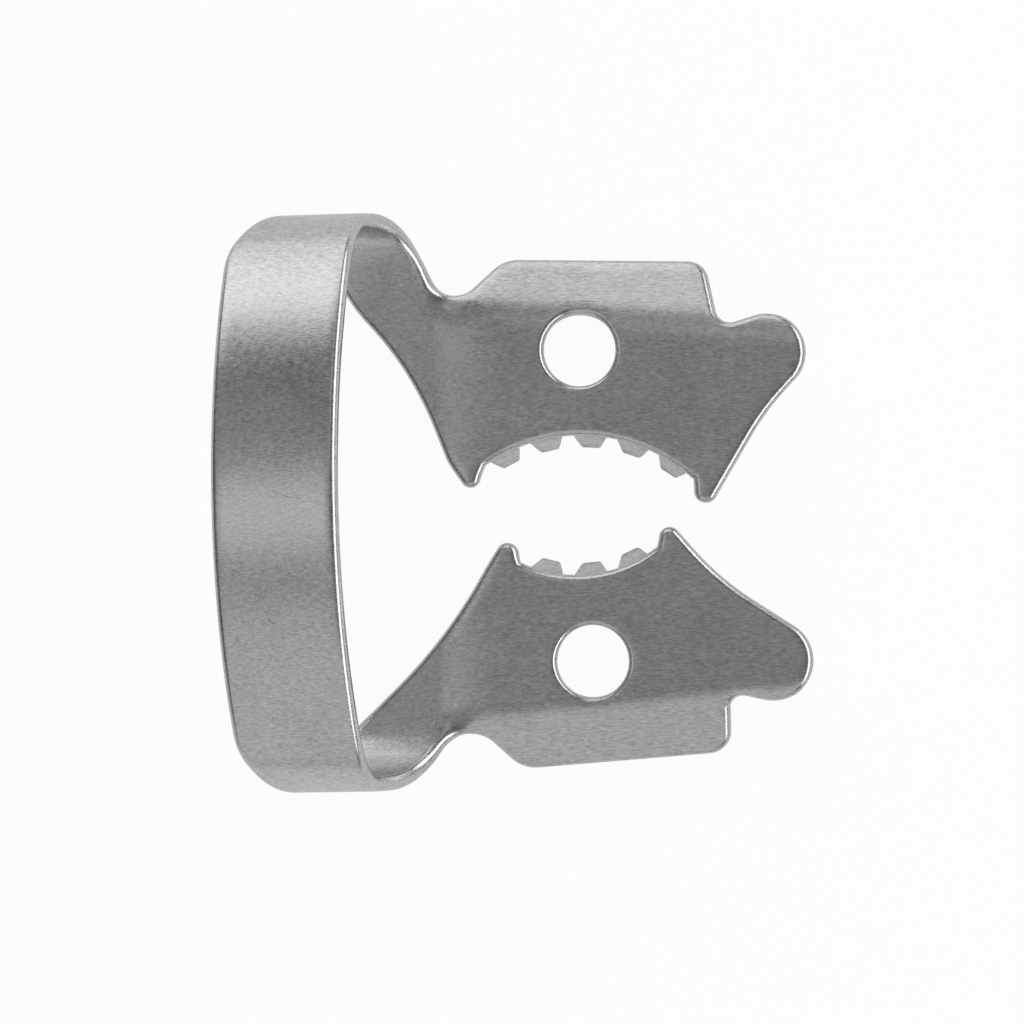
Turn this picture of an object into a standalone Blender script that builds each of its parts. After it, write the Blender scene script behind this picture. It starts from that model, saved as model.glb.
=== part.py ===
"""Rubber dam clamp: a winged, serrated clamp bent from one strip of spring steel.

The sheet is drawn flat, as it is stamped, and then bent. The flat blank has two halves, one
for each jaw, that meet at the middle of the bow's crown. In each half x runs along the jaws
(towards the front wings) and y runs outward from the clamp's middle plane, over the jaw, up
the limb and on to the crown. The bends turn y into the bow's arch and leave x almost alone.

All lengths are millimetres and all angles are degrees; MM turns them into Blender's metres.
"""

import math
from dataclasses import dataclass

import bmesh
import bpy
from mathutils import Matrix, Vector
from mathutils.geometry import delaunay_2d_cdt

MM = 0.001

# The sheet and its tumbled edges.
THICKNESS = 0.77
EDGE_ROUND = 0.33
ROUND_STEPS = 2

# The bow, seen along the jaws. Radii are to the middle of the sheet. The shift is how far the
# bow's middle lies towards the wide jaw.
BOW_WIDTH = 26.5
BOW_SHIFT = 0.25
BOW_DROP = 4.1
CROWN_RADIUS = 22.0
SHOULDER_RADIUS = 3.8
HEEL_RADIUS = 2.9
HEEL_TURN = 65.0

# The bow's strip, and the gentle bend across the limbs by which the bow leans back.
STRIP_FRONT = -8.6
STRIP_WIDTH = 5.93
STRIP_BACK = STRIP_FRONT - STRIP_WIDTH
LEAN = 8.0
LEAN_FRONT = -3.4
LEAN_RADIUS = 28.0

# The side wings' bend, whose crease slants inward towards the front, and the forceps holes.
WING_RADIUS = 3.0
WING_SLANT = -4.6
HOLE_DIAMETER = 3.35
HOLE_ROUND = 0.24

# The teeth, the same on both jaws, turned down from the jaw's inner edge.
TOOTH_PITCH = 2.05
TOOTH_ROOT_WIDTH = 1.75
TOOTH_TIP_WIDTH = 0.86
TOOTH_REACH = 0.58
TOOTH_SLOPE = 55.0
TOOTH_THICKNESS = 0.45
TOOTH_ROOT_DEPTH = 0.6
TOOTH_SINK = 0.02

# How finely the outline and the bends are divided.
ARC_STEP = 15.0
EDGE_STEP = 1.1
CROSS_STEP = 1.1
BLEND_STEP = 0.45
BEND_STEP = 8.0
HOLE_SIDES = 28
MARGIN = 0.32
REST_ROUNDS = 6

# The steel.
STEEL_COLOUR = (0.56, 0.56, 0.55, 1.0)
STEEL_ROUGHNESS = 0.34


@dataclass(frozen=True)
class Corner:
    """A corner of the outline at x, y, rounded off to the radius r."""

    x: float
    y: float
    r: float = 0.0


@dataclass(frozen=True)
class Arc:
    """A stretch of the outline round x, y with the radius r, from one angle to another."""

    x: float
    y: float
    r: float
    start: float
    end: float


@dataclass(frozen=True)
class Jaw:
    """One jaw with its limb: which side it is on, where it bends, and its flat outline."""

    side: int
    flat_edge: float
    wing_edge: float
    wing_turn: float
    blend: float
    limb_front: Corner
    notch: Corner
    wing_back: Corner
    wing_front: Corner
    step: Corner
    front_wing: Arc
    waist: Corner
    front_prong: Arc
    rear_prong: Arc
    teeth_circle: Arc
    teeth: int
    teeth_middle: float
    inner_back: Corner
    limb_back: Corner
    limb_top: Corner
    taper: Corner
    hole: Corner

    def bends(self):
        """Radius and turn of each bend from the jaw to the crown; radius None is a straight leg."""
        half = (BOW_WIDTH - THICKNESS) / 2
        reach = half + self.side * BOW_SHIFT
        heel = math.radians(HEEL_TURN)
        neck_radius = (reach - self.flat_edge - HEEL_RADIUS * (1 - math.cos(heel))) / math.cos(heel)
        leg = BOW_DROP - HEEL_RADIUS * math.sin(heel) - neck_radius * (1 - math.sin(heel))
        crown = math.asin((half - SHOULDER_RADIUS) / (CROWN_RADIUS - SHOULDER_RADIUS))
        return [(neck_radius, math.pi / 2 - heel), (HEEL_RADIUS, heel), (None, leg),
                (SHOULDER_RADIUS, math.pi / 2 - crown), (CROWN_RADIUS, crown)]

    def crown_y(self):
        """The flat y at the middle of the crown."""
        return self.flat_edge + sum(size if radius is None else radius * size
                                    for radius, size in self.bends())


WIDE_JAW = Jaw(
    side=1, flat_edge=8.1, wing_edge=7.78, wing_turn=24.0, blend=0.9,
    limb_front=Corner(STRIP_FRONT, 15.6, 6.0), notch=Corner(-6.2, 8.8, 1.1),
    wing_back=Corner(-3.52, 11.5, 1.6), wing_front=Corner(5.78, 11.22, 1.0),
    step=Corner(6.48, 7.95, 0.7), front_wing=Arc(8.65, 6.72, 1.8, 105.0, -50.0),
    waist=Corner(8.53, 4.0, 12.0), front_prong=Arc(5.7, 0.42, 0.54, -30.0, -180.0),
    rear_prong=Arc(-5.2, 1.28, 0.46, -5.0, -150.0),
    teeth_circle=Arc(-0.22, -4.67, 7.78, 46.4, 123.4), teeth=5, teeth_middle=85.5,
    inner_back=Corner(-6.25, 2.0, 2.5), limb_back=Corner(-7.8, 6.1, 15.0),
    limb_top=Corner(-10.7, 9.38, 6.0), taper=Corner(STRIP_BACK, 19.2, 4.0),
    hole=Corner(0.0, 7.05, HOLE_DIAMETER / 2))

NARROW_JAW = Jaw(
    side=-1, flat_edge=9.2, wing_edge=8.57, wing_turn=22.0, blend=0.9,
    limb_front=Corner(STRIP_FRONT, 15.0, 5.0), notch=Corner(-5.85, 9.56, 1.4),
    wing_back=Corner(-3.17, 12.38, 1.6), wing_front=Corner(6.53, 11.78, 1.1),
    step=Corner(6.6, 8.84, 0.6), front_wing=Arc(8.63, 7.43, 1.86, 100.0, -54.0),
    waist=Corner(6.24, 3.6, 13.0), front_prong=Arc(3.98, 1.68, 0.49, -33.0, -175.0),
    rear_prong=Arc(-3.56, 2.29, 0.53, -5.0, -149.0),
    teeth_circle=Arc(-0.26, -2.77, 6.075, 53.0, 116.5), teeth=3, teeth_middle=84.8,
    inner_back=Corner(-4.55, 2.84, 2.5), limb_back=Corner(-6.45, 6.02, 22.0),
    limb_top=Corner(-11.1, 10.38, 4.0), taper=Corner(STRIP_BACK, 19.3, 4.0),
    hole=Corner(0.3, 7.3, HOLE_DIAMETER / 2))


def on_circle(x, y, radius, angle):
    """The point of a circle at an angle in degrees."""
    turn = math.radians(angle)
    return x + radius * math.cos(turn), y + radius * math.sin(turn)


def arc_points(x, y, radius, start, end):
    """Points round an arc, from its start to its end."""
    turn = abs(end - start)
    count = max(1, math.ceil(turn / ARC_STEP), math.ceil(math.radians(turn) * radius / EDGE_STEP))
    return [on_circle(x, y, radius, start + (end - start) * i / count) for i in range(count + 1)]


def fillet_points(before, corner, after):
    """The corner's rounded stretch between the points before and after it."""
    here = Vector((corner.x, corner.y))
    back = (Vector(before) - here).normalized()
    ahead = (Vector(after) - here).normalized()
    half = back.angle(ahead) / 2
    middle = here + (back + ahead).normalized() * (corner.r / math.sin(half))
    first = here + back * (corner.r / math.tan(half)) - middle
    turn = first.angle_signed(here + ahead * (corner.r / math.tan(half)) - middle)
    start = math.degrees(math.atan2(first.y, first.x))
    return arc_points(middle.x, middle.y, corner.r, start, start - math.degrees(turn))


def trace(items):
    """Points along an open outline of corners and arcs, whose two ends are plain corners."""
    starts = [on_circle(i.x, i.y, i.r, i.start) if isinstance(i, Arc) else (i.x, i.y) for i in items]
    ends = [on_circle(i.x, i.y, i.r, i.end) if isinstance(i, Arc) else (i.x, i.y) for i in items]
    points = []
    for index, item in enumerate(items):
        if isinstance(item, Arc):
            points += arc_points(item.x, item.y, item.r, item.start, item.end)
        elif item.r:
            points += fillet_points(ends[index - 1], item, starts[index + 1])
        else:
            points.append((item.x, item.y))
    return points


def jaw_outline(jaw):
    """A jaw's half of the flat outline, from the bow's front edge round the jaw to its back edge."""
    crown = jaw.crown_y()
    circle = jaw.teeth_circle
    gum_front = on_circle(circle.x, circle.y, circle.r, circle.start)
    gum_back = on_circle(circle.x, circle.y, circle.r, circle.end)
    return trace([
        Corner(STRIP_FRONT, crown), jaw.limb_front, jaw.notch, jaw.wing_back, jaw.wing_front,
        jaw.step, jaw.front_wing, jaw.waist, jaw.front_prong, Corner(*gum_front), circle,
        Corner(*gum_back), jaw.rear_prong, jaw.inner_back, jaw.limb_back, jaw.limb_top, jaw.taper,
        Corner(STRIP_BACK, crown)])


def swing(x, y, angle):
    """The point x, y turned about the middle of the jaws by an angle in degrees."""
    turn = math.radians(angle)
    return x * math.cos(turn) - y * math.sin(turn), x * math.sin(turn) + y * math.cos(turn)


def limb_levels(jaw):
    """The flat y of every line across the limb and the bow at which a bend is divided."""
    levels = [jaw.flat_edge]
    for radius, size in jaw.bends():
        count = 1 if radius is None else math.ceil(math.degrees(size) / BEND_STEP)
        length = size if radius is None else radius * size
        levels += [levels[-1] + length * (i + 1) / count for i in range(count)]
    return levels


def wing_levels(jaw):
    """The distance square to the crease of every line that divides the wing's bend."""
    length = WING_RADIUS * math.radians(jaw.wing_turn)
    return [jaw.wing_edge + length * i / 4 for i in range(5)]


def crossings(start, end, levels, slant):
    """The shares of the way from start to end at which it crosses lines with the given slant."""
    low, high = swing(*start, -slant)[1], swing(*end, -slant)[1]
    shares = {(level - low) / (high - low) for level in levels if high != low}
    return {share for share in shares if 0 < share < 1}


def divide(points, jaw):
    """Split an outline's edges where they cross the bends' lines, and wherever they are long."""
    result = [points[0]]
    for first, last in zip(points, points[1:]):
        start, end = Vector(first), Vector(last)
        cuts = crossings(start, end, limb_levels(jaw), 0.0)
        cuts |= crossings(start, end, wing_levels(jaw), WING_SLANT)
        stops = sorted(cuts | {0.0, 1.0})
        for low, high in zip(stops, stops[1:]):
            pieces = max(1, math.ceil((high - low) * (end - start).length / EDGE_STEP))
            for i in range(pieces):
                result.append(tuple(start.lerp(end, low + (high - low) * (i + 1) / pieces)))
    return result


def without_repeats(points, gap=0.04):
    """The closed loop without points that lie closer than the gap to the one before."""
    kept = [points[0]]
    for point in points[1:]:
        if (Vector(point) - Vector(kept[-1])).length > gap:
            kept.append(point)
    return kept if (Vector(kept[-1]) - Vector(kept[0])).length > gap else kept[:-1]


def to_blank(jaw, point):
    """A jaw's flat x, y in the whole blank, whose second axis starts at the crown's middle."""
    return point[0], jaw.side * (jaw.crown_y() - point[1])


def blank_loops():
    """The blank's outer loop and its two hole loops, material on the left of each."""
    halves = [[to_blank(jaw, p) for p in divide(jaw_outline(jaw), jaw)] for jaw in (WIDE_JAW, NARROW_JAW)]
    outer = without_repeats(halves[0] + halves[1][::-1])
    loops = [outer if signed_area(outer) > 0 else outer[::-1]]
    for jaw in (WIDE_JAW, NARROW_JAW):
        x, u = to_blank(jaw, (jaw.hole.x, jaw.hole.y))
        turns = [-360.0 * i / HOLE_SIDES for i in range(HOLE_SIDES)]
        loops.append([on_circle(x, u, jaw.hole.r, turn) for turn in turns])
    return loops


def signed_area(loop):
    """Area inside a loop, positive where it runs counter-clockwise."""
    return sum(a[0] * b[1] - b[0] * a[1] for a, b in zip(loop, loop[1:] + loop[:1])) / 2


def inset(loop, depth):
    """The loop moved into the material by the depth, with its corners mitred."""
    moved = []
    for before, here, after in zip(loop[-1:] + loop[:-1], loop, loop[1:] + loop[:1]):
        edge_in = (Vector(here) - Vector(before)).normalized()
        edge_out = (Vector(after) - Vector(here)).normalized()
        normal = Vector((-edge_in.y - edge_out.y, edge_in.x + edge_out.x)).normalized()
        mitre = max(normal.dot(Vector((-edge_in.y, edge_in.x))), 0.7)
        moved.append(tuple(Vector(here) + normal * (depth / mitre)))
    return moved


def inside(point, loops):
    """Whether the point lies in the material: in the outer loop and in no hole."""
    crossings = 0
    for loop in loops:
        for a, b in zip(loop, loop[1:] + loop[:1]):
            if (a[1] > point[1]) != (b[1] > point[1]):
                at = a[0] + (point[1] - a[1]) / (b[1] - a[1]) * (b[0] - a[0])
                crossings += at > point[0]
    return crossings % 2 == 1


def inner_points(loops):
    """Points within the sheet: across every bend, and closer together beside each notch."""
    wanted = []
    for jaw in (WIDE_JAW, NARROW_JAW):
        columns = [STRIP_BACK + CROSS_STEP * i for i in range(1, 24)]
        on_limb = [x for x in columns if x < jaw.notch.x + jaw.blend]
        on_wing = [swing(x, y, WING_SLANT) for y in wing_levels(jaw) for x in columns]
        wanted += [to_blank(jaw, (x, y)) for y in limb_levels(jaw) for x in on_limb]
        wanted += [to_blank(jaw, point) for point in on_wing if point[0] > jaw.notch.x - jaw.blend]
        columns = [jaw.notch.x + BLEND_STEP * i for i in range(-3, 4)]
        rows = [jaw.flat_edge + BLEND_STEP * i for i in range(-1, 5)]
        wanted += [to_blank(jaw, (x, y)) for y in rows for x in columns]
    edges = [Vector(p) for loop in loops for p in loop]
    kept = []
    for point in wanted:
        here = Vector(point)
        if inside(point, loops) and all((here - e).length > MARGIN for e in edges):
            if all((here - Vector(k)).length > MARGIN for k in kept):
                kept.append(point)
    return kept


def smooth(share):
    """A share from 0 to 1 with level ends."""
    share = min(max(share, 0.0), 1.0)
    return share * share * (3 - 2 * share)


def follow(bends, length):
    """Where a line of the given length ends up along the bends: outward, up, and its slope."""
    out = up = slope = 0.0
    for radius, size in bends:
        step = min(length, size if radius is None else radius * size)
        length -= step
        if radius is None:
            out += step * math.cos(slope)
            up += step * math.sin(slope)
        else:
            out += radius * (math.sin(slope + step / radius) - math.sin(slope))
            up += radius * (math.cos(slope) - math.cos(slope + step / radius))
            slope += step / radius
    return out + length * math.cos(slope), up + length * math.sin(slope), slope


def bent(bends, edge, y, height):
    """A point at flat y and a height over the sheet's middle, bent from the edge on: y and z."""
    out, up, slope = follow(bends, max(y - edge, 0.0))
    return (min(y, edge) + out - height * math.sin(slope), up + height * math.cos(slope))


def place(x, u, height):
    """A point of the blank, at a height over the sheet's middle, on the bent clamp."""
    jaw = WIDE_JAW if u >= 0 else NARROW_JAW
    y = jaw.crown_y() - abs(u)
    limb = 1 - smooth((x - jaw.notch.x + jaw.blend) / (2 * jaw.blend))
    limb_y, limb_z = bent(jaw.bends(), jaw.flat_edge, y, height)
    wing_bend = (WING_RADIUS, math.radians(jaw.wing_turn))
    beside, square = swing(x, y, -WING_SLANT)
    reach, wing_z = bent([wing_bend], jaw.wing_edge, square, -height)
    wing_x, wing_y = swing(beside, reach, WING_SLANT)
    across = limb * x + (1 - limb) * wing_x
    along = limb * limb_y + (1 - limb) * wing_y
    up = limb * limb_z - (1 - limb) * wing_z
    back, down = bent([(LEAN_RADIUS, math.radians(LEAN))], -LEAN_FRONT, -across, -up)
    return Vector((-back, jaw.side * along, -down))


def build_sheet():
    """The bent sheet with its rounded edges and forceps holes, as a closed mesh."""
    loops = blank_loops()
    rounds = [EDGE_ROUND, HOLE_ROUND, HOLE_ROUND]
    mesh = bmesh.new()
    quarter = [math.pi / 2 * i / ROUND_STEPS for i in range(ROUND_STEPS + 1)]
    caps = []
    for loop, radius in zip(loops, rounds):
        rings = []
        for side, angles in ((1, quarter), (-1, quarter[::-1])):
            for angle in angles:
                height = side * (THICKNESS / 2 - radius * (1 - math.cos(angle)))
                ring = inset(loop, radius * (1 - math.sin(angle)))
                rings.append([mesh.verts.new(place(*point, height)) for point in ring])
        for upper, lower in zip(rings, rings[1:]):
            for i in range(len(loop)):
                mesh.faces.new((upper[i - 1], upper[i], lower[i], lower[i - 1]))
        caps.append((inset(loop, radius), rings[0], rings[-1]))
    flat_loops = [flat for flat, _, _ in caps]
    middle = inner_points(flat_loops)
    flat = [Vector(p) for loop in flat_loops for p in loop] + [Vector(p) for p in middle]
    edges, first = [], 0
    for loop in flat_loops:
        edges += [(first + i, first + (i + 1) % len(loop)) for i in range(len(loop))]
        first += len(loop)
    points, _, faces, source, _, _ = delaunay_2d_cdt(flat, edges, [], 1, 1e-6)
    for index, height in ((1, THICKNESS / 2), (2, -THICKNESS / 2)):
        skin = [v for cap in caps for v in cap[index]]
        skin += [mesh.verts.new(place(*point, height)) for point in middle]
        for face in faces:
            centre = sum((points[i] for i in face), Vector((0, 0))) / len(face)
            if not inside(centre, flat_loops[1:]):
                mesh.faces.new([skin[source[i][0]] for i in face])
    bmesh.ops.recalc_face_normals(mesh, faces=mesh.faces)
    return mesh


def build_teeth(jaw):
    """The jaw's teeth: each the hull of its section at the root and at the tip."""
    circle = jaw.teeth_circle
    slope = math.radians(TOOTH_SLOPE)
    down = Vector((math.cos(slope), -math.sin(slope)))
    under = Vector((-math.sin(slope), -math.cos(slope)))
    top = THICKNESS / 2
    fold = Vector((-EDGE_ROUND, top - EDGE_ROUND)) - under * (EDGE_ROUND - TOOTH_SINK)
    tip = fold + down * ((TOOTH_REACH - fold.x) / down.x)
    wide, slim = TOOTH_ROOT_WIDTH / 2, TOOTH_TIP_WIDTH / 2
    section = [(Vector((-TOOTH_ROOT_DEPTH, top - TOOTH_SINK)), wide), (fold, wide), (tip, slim),
               (tip + under * TOOTH_THICKNESS, slim), (Vector((-TOOTH_ROOT_DEPTH, TOOTH_SINK - top)), wide)]
    mesh = bmesh.new()
    for number in range(jaw.teeth):
        spread = math.degrees(TOOTH_PITCH / circle.r) * (number - (jaw.teeth - 1) / 2)
        angle = math.radians(jaw.teeth_middle + spread)
        outward = Vector((math.cos(angle), math.sin(angle)))
        along = Vector((-outward.y, outward.x))
        corners = []
        for point, half in section:
            for side in (-half, half):
                flat = Vector((circle.x, circle.y)) + outward * (circle.r - point.x) + along * side
                corners.append(mesh.verts.new((flat.x, jaw.side * flat.y, point.y)))
        bmesh.ops.convex_hull(mesh, input=corners)
    bmesh.ops.recalc_face_normals(mesh, faces=mesh.faces)
    return mesh


def centre_of_mass(mesh):
    """The mean place of a closed mesh's volume."""
    volume, moment = 0.0, Vector()
    for a, b, c in (tuple(loop.vert.co for loop in tri) for tri in mesh.calc_loop_triangles()):
        piece = a.dot(b.cross(c)) / 6
        volume += piece
        moment += piece * (a + b + c) / 4
    return moment / volume


def resting_turn(corners, balance):
    """The turn about Y that brings the clamp to rest on its lowest places behind and before."""
    turn = 0.0
    for _ in range(REST_ROUNDS):
        spin = Matrix.Rotation(turn, 3, 'Y')
        turned = [spin @ corner for corner in corners]
        middle = (spin @ balance).x
        back = min((c for c in turned if c.x < middle), key=lambda c: c.z)
        front = min((c for c in turned if c.x >= middle), key=lambda c: c.z)
        turn += math.atan2(front.z - back.z, front.x - back.x)
    return turn


def finish(mesh, name, material, collection):
    """Turn a mesh in millimetres into a named, smooth-shaded object in metres."""
    bmesh.ops.scale(mesh, vec=(MM, MM, MM), verts=mesh.verts)
    data = bpy.data.meshes.new(name)
    mesh.to_mesh(data)
    mesh.free()
    data.materials.append(material)
    data.shade_smooth()
    data.set_sharp_from_angle(angle=math.radians(30))
    thing = bpy.data.objects.new(name, data)
    collection.objects.link(thing)
    return thing


def steel():
    """Satin spring steel."""
    material = bpy.data.materials.new("spring_steel")
    material.use_nodes = True
    shader = material.node_tree.nodes["Principled BSDF"]
    shader.inputs["Base Color"].default_value = STEEL_COLOUR
    shader.inputs["Metallic"].default_value = 1.0
    shader.inputs["Roughness"].default_value = STEEL_ROUGHNESS
    return material


def new_collection(name):
    """A collection linked to the scene."""
    collection = bpy.data.collections.new(name)
    bpy.context.scene.collection.children.link(collection)
    return collection


def main():
    """Build the clamp at rest, with the middle of its base at the origin."""
    for thing in list(bpy.data.objects):
        bpy.data.objects.remove(thing)
    parts = new_collection("rubber_dam_clamp")
    cutters = new_collection("cutters")
    material = steel()
    sheet = build_sheet()
    rows = {"wide_jaw_teeth": build_teeth(WIDE_JAW), "narrow_jaw_teeth": build_teeth(NARROW_JAW)}
    corners = [v.co.copy() for mesh in (sheet, *rows.values()) for v in mesh.verts]
    turn = resting_turn(corners, centre_of_mass(sheet))
    clamp = finish(sheet, "clamp", material, parts)
    for name, row in rows.items():
        teeth = finish(row, name, material, cutters)
        teeth.parent = clamp
        teeth.hide_render = True
        teeth.display_type = 'WIRE'
        union = clamp.modifiers.new(name, 'BOOLEAN')
        union.operation = 'UNION'
        union.solver = 'EXACT'
        union.object = teeth
    turned = [Matrix.Rotation(turn, 3, 'Y') @ corner * MM for corner in corners]
    low = Vector([min(c[i] for c in turned) for i in range(3)])
    high = Vector([max(c[i] for c in turned) for i in range(3)])
    clamp.rotation_euler = (0.0, turn, 0.0)
    clamp.location = (-(low.x + high.x) / 2, -(low.y + high.y) / 2, -low.z)


main()
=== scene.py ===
"""Rubber dam clamp: the finished look of one bent sheet of spring steel.

The clamp is made as the real one is. A flat blank is stamped with rounded edges and two forceps
holes, a press bends each half of it into a jaw, a limb and half of the bow, and a row of teeth
is turned down along each gum edge. The blank lies in x and u: x runs along the jaws and u runs
from the middle of the bow's crown, up for the wide jaw and down for the narrow one. Sizes are
in millimetres and angles in degrees, and they become metres and radians where Blender needs them.
"""

from __future__ import annotations

import logging
import math
from dataclasses import dataclass
from enum import Enum
from typing import Any

import bmesh
import bpy
import numpy as np
from mathutils import Matrix, Vector
from mathutils.geometry import delaunay_2d_cdt
from mathutils.kdtree import KDTree

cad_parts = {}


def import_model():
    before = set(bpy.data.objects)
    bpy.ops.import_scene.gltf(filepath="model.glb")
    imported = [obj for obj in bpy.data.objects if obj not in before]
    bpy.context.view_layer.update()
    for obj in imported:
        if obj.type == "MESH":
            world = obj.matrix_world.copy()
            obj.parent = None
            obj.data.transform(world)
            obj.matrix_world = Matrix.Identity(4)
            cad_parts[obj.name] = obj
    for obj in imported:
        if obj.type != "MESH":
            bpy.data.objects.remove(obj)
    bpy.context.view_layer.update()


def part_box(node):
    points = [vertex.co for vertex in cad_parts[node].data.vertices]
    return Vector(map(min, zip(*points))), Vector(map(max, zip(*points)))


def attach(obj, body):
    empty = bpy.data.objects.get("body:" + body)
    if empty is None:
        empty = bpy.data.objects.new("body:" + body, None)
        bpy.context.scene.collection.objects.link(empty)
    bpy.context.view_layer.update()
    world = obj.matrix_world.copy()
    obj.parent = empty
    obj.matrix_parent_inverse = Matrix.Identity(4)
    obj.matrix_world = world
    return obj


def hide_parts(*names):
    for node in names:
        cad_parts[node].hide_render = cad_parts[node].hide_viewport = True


LOG = logging.getLogger("rubber_dam_clamp")
MM = 0.001
BODY = "root"
NODE = "clamp"

PICTURE_WIDTH = 1024

# How the triangulation works: it fills what the edges enclose, and joins points this close.
FILL_INSIDE = 1
SAME_PLACE = 1e-6

Point = tuple[float, float]
Loop = list[Point]


# Node trees written as expressions.


@dataclass(frozen=True)
class Term:
    """A number socket of a node tree, whose arithmetic adds Math nodes."""

    graph: Graph
    socket: bpy.types.NodeSocket

    def __add__(self, other: Number) -> Term:
        """This plus the other."""
        return self.graph.maths("ADD", self, other)

    def __sub__(self, other: Number) -> Term:
        """This less the other."""
        return self.graph.maths("SUBTRACT", self, other)

    def __mul__(self, other: Number) -> Term:
        """This times the other."""
        return self.graph.maths("MULTIPLY", self, other)

    def __truediv__(self, other: Number) -> Term:
        """This over the other."""
        return self.graph.maths("DIVIDE", self, other)

    def __rsub__(self, other: Number) -> Term:
        """The other less this."""
        return self.graph.maths("SUBTRACT", other, self)

    def __rtruediv__(self, other: Number) -> Term:
        """The other over this."""
        return self.graph.maths("DIVIDE", other, self)

    __radd__ = __add__
    __rmul__ = __mul__

    def at_most(self, other: Number) -> Term:
        """The smaller of this and the other."""
        return self.graph.maths("MINIMUM", self, other)

    def at_least(self, other: Number) -> Term:
        """The larger of this and the other."""
        return self.graph.maths("MAXIMUM", self, other)

    def size(self) -> Term:
        """This without its sign."""
        return self.graph.maths("ABSOLUTE", self)

    def eased(self) -> Term:
        """This held between 0 and 1, with level ends."""
        share = self.at_least(0.0).at_most(1.0)
        return share * share * (3.0 - 2.0 * share)


Number = float | Term


class Graph:
    """A node tree, with one method that adds any node to it."""

    def __init__(self, tree: bpy.types.NodeTree) -> None:
        """Wrap the tree.

        Args:
            tree: the node tree that the nodes go into.
        """
        self.tree = tree

    def add(self, kind: str, sockets: dict[int | str, Any] | None = None,
            **settings: Any) -> bpy.types.Node:
        """Add a node.

        Args:
            kind: the node's type.
            sockets: the value or the link of each input, by its name or its place.
            settings: the node's own settings, which are set first.

        Returns:
            The new node.
        """
        node = self.tree.nodes.new(kind)
        for name, value in settings.items():
            setattr(node, name, value)
        for key, value in (sockets or {}).items():
            self.fill(node.inputs[key], value)
        return node

    def fill(self, socket: bpy.types.NodeSocket, value: Any) -> None:
        """Link an input or set its value.

        Args:
            socket: the input.
            value: a term or another node's socket to link, or a plain value.
        """
        if isinstance(value, Term):
            self.tree.links.new(value.socket, socket)
        elif isinstance(value, bpy.types.NodeSocket):
            self.tree.links.new(value, socket)
        else:
            socket.default_value = value

    def maths(self, operation: str, *values: Number) -> Term:
        """Add a Math node and return its result."""
        node = self.add("ShaderNodeMath", dict(enumerate(values)), operation=operation)
        return Term(self, node.outputs[0])

    def term(self, node: bpy.types.Node, output: int | str = 0) -> Term:
        """A node's output as a term."""
        return Term(self, node.outputs[output])


def sine(value: Number) -> Number:
    """The sine of a number or a term."""
    return value.graph.maths("SINE", value) if isinstance(value, Term) else math.sin(value)


def cosine(value: Number) -> Number:
    """The cosine of a number or a term."""
    return value.graph.maths("COSINE", value) if isinstance(value, Term) else math.cos(value)


class GeometryTool:
    """A Geometry Nodes tree with named inputs, applied to an object by a modifier."""

    def __init__(self, name: str, sizes: dict[str, float]) -> None:
        """Start the tree with its geometry sockets and one input for each size.

        Args:
            name: the tree's name.
            sizes: each input's name and the value that it has until it is set.
        """
        self.tree = bpy.data.node_groups.new(name, "GeometryNodeTree")
        self.graph = Graph(self.tree)
        self.tree.interface.new_socket("Geometry", in_out="INPUT", socket_type="NodeSocketGeometry")
        self.tree.interface.new_socket("Geometry", in_out="OUTPUT", socket_type="NodeSocketGeometry")
        for label, value in sizes.items():
            kind = "NodeSocketInt" if isinstance(value, int) else "NodeSocketFloat"
            socket = self.tree.interface.new_socket(label, in_out="INPUT", socket_type=kind)
            socket.default_value = value
        self.source = self.graph.add("NodeGroupInput")

    def size(self, label: str) -> Term:
        """One of the tree's named sizes."""
        return self.graph.term(self.source, label)

    def close(self, geometry: bpy.types.NodeSocket, material: bpy.types.Material) -> None:
        """End the tree in real geometry with its material.

        Args:
            geometry: the socket that the finished geometry comes from.
            material: what it is dressed in.
        """
        real = self.graph.add("GeometryNodeRealizeInstances", {"Geometry": geometry})
        dressed = self.graph.add("GeometryNodeSetMaterial",
                                 {"Geometry": real.outputs[0], "Material": material})
        self.graph.add("NodeGroupOutput", {"Geometry": dressed.outputs[0]})

    def put_on(self, thing: bpy.types.Object, sizes: dict[str, float]) -> None:
        """Put the tree on an object as a modifier, with the object's own sizes.

        Args:
            thing: the object that the tree works on.
            sizes: the value of each named input.
        """
        modifier = thing.modifiers.new(self.tree.name, "NODES")
        modifier.node_group = self.tree
        for item in self.tree.interface.items_tree:
            if item.in_out == "INPUT" and item.name in sizes:
                modifier[item.identifier] = sizes[item.name]


def placed(name: str, data: bpy.types.ID) -> bpy.types.Object:
    """A new object in the scene, at the origin.

    Args:
        name: the object's name.
        data: its mesh, lamp or camera.

    Returns:
        The object.
    """
    thing = bpy.data.objects.new(name, data)
    bpy.context.scene.collection.objects.link(thing)
    return thing


def shaped(name: str, body: bmesh.types.BMesh) -> bpy.types.Mesh:
    """A mesh from a finished body, which is freed.

    Args:
        name: the mesh's name.
        body: its points and faces.

    Returns:
        The mesh.
    """
    mesh = bpy.data.meshes.new(name)
    body.to_mesh(mesh)
    body.free()
    return mesh


def made_plain(thing: bpy.types.Object, name: str) -> bpy.types.Object:
    """Put a plain mesh object in the place of one with live modifiers.

    Args:
        thing: the object whose evaluated mesh is wanted, and which is removed.
        name: the name of the new object.

    Returns:
        The new object, at the origin.
    """
    graph = bpy.context.evaluated_depsgraph_get()
    mesh = bpy.data.meshes.new_from_object(thing.evaluated_get(graph))
    bpy.data.objects.remove(thing)
    mesh.name = name
    return placed(name, mesh)


# The flat outline.


class Side(Enum):
    """The two jaws, by their side of the clamp's middle plane."""

    WIDE = 1
    NARROW = -1


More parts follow.
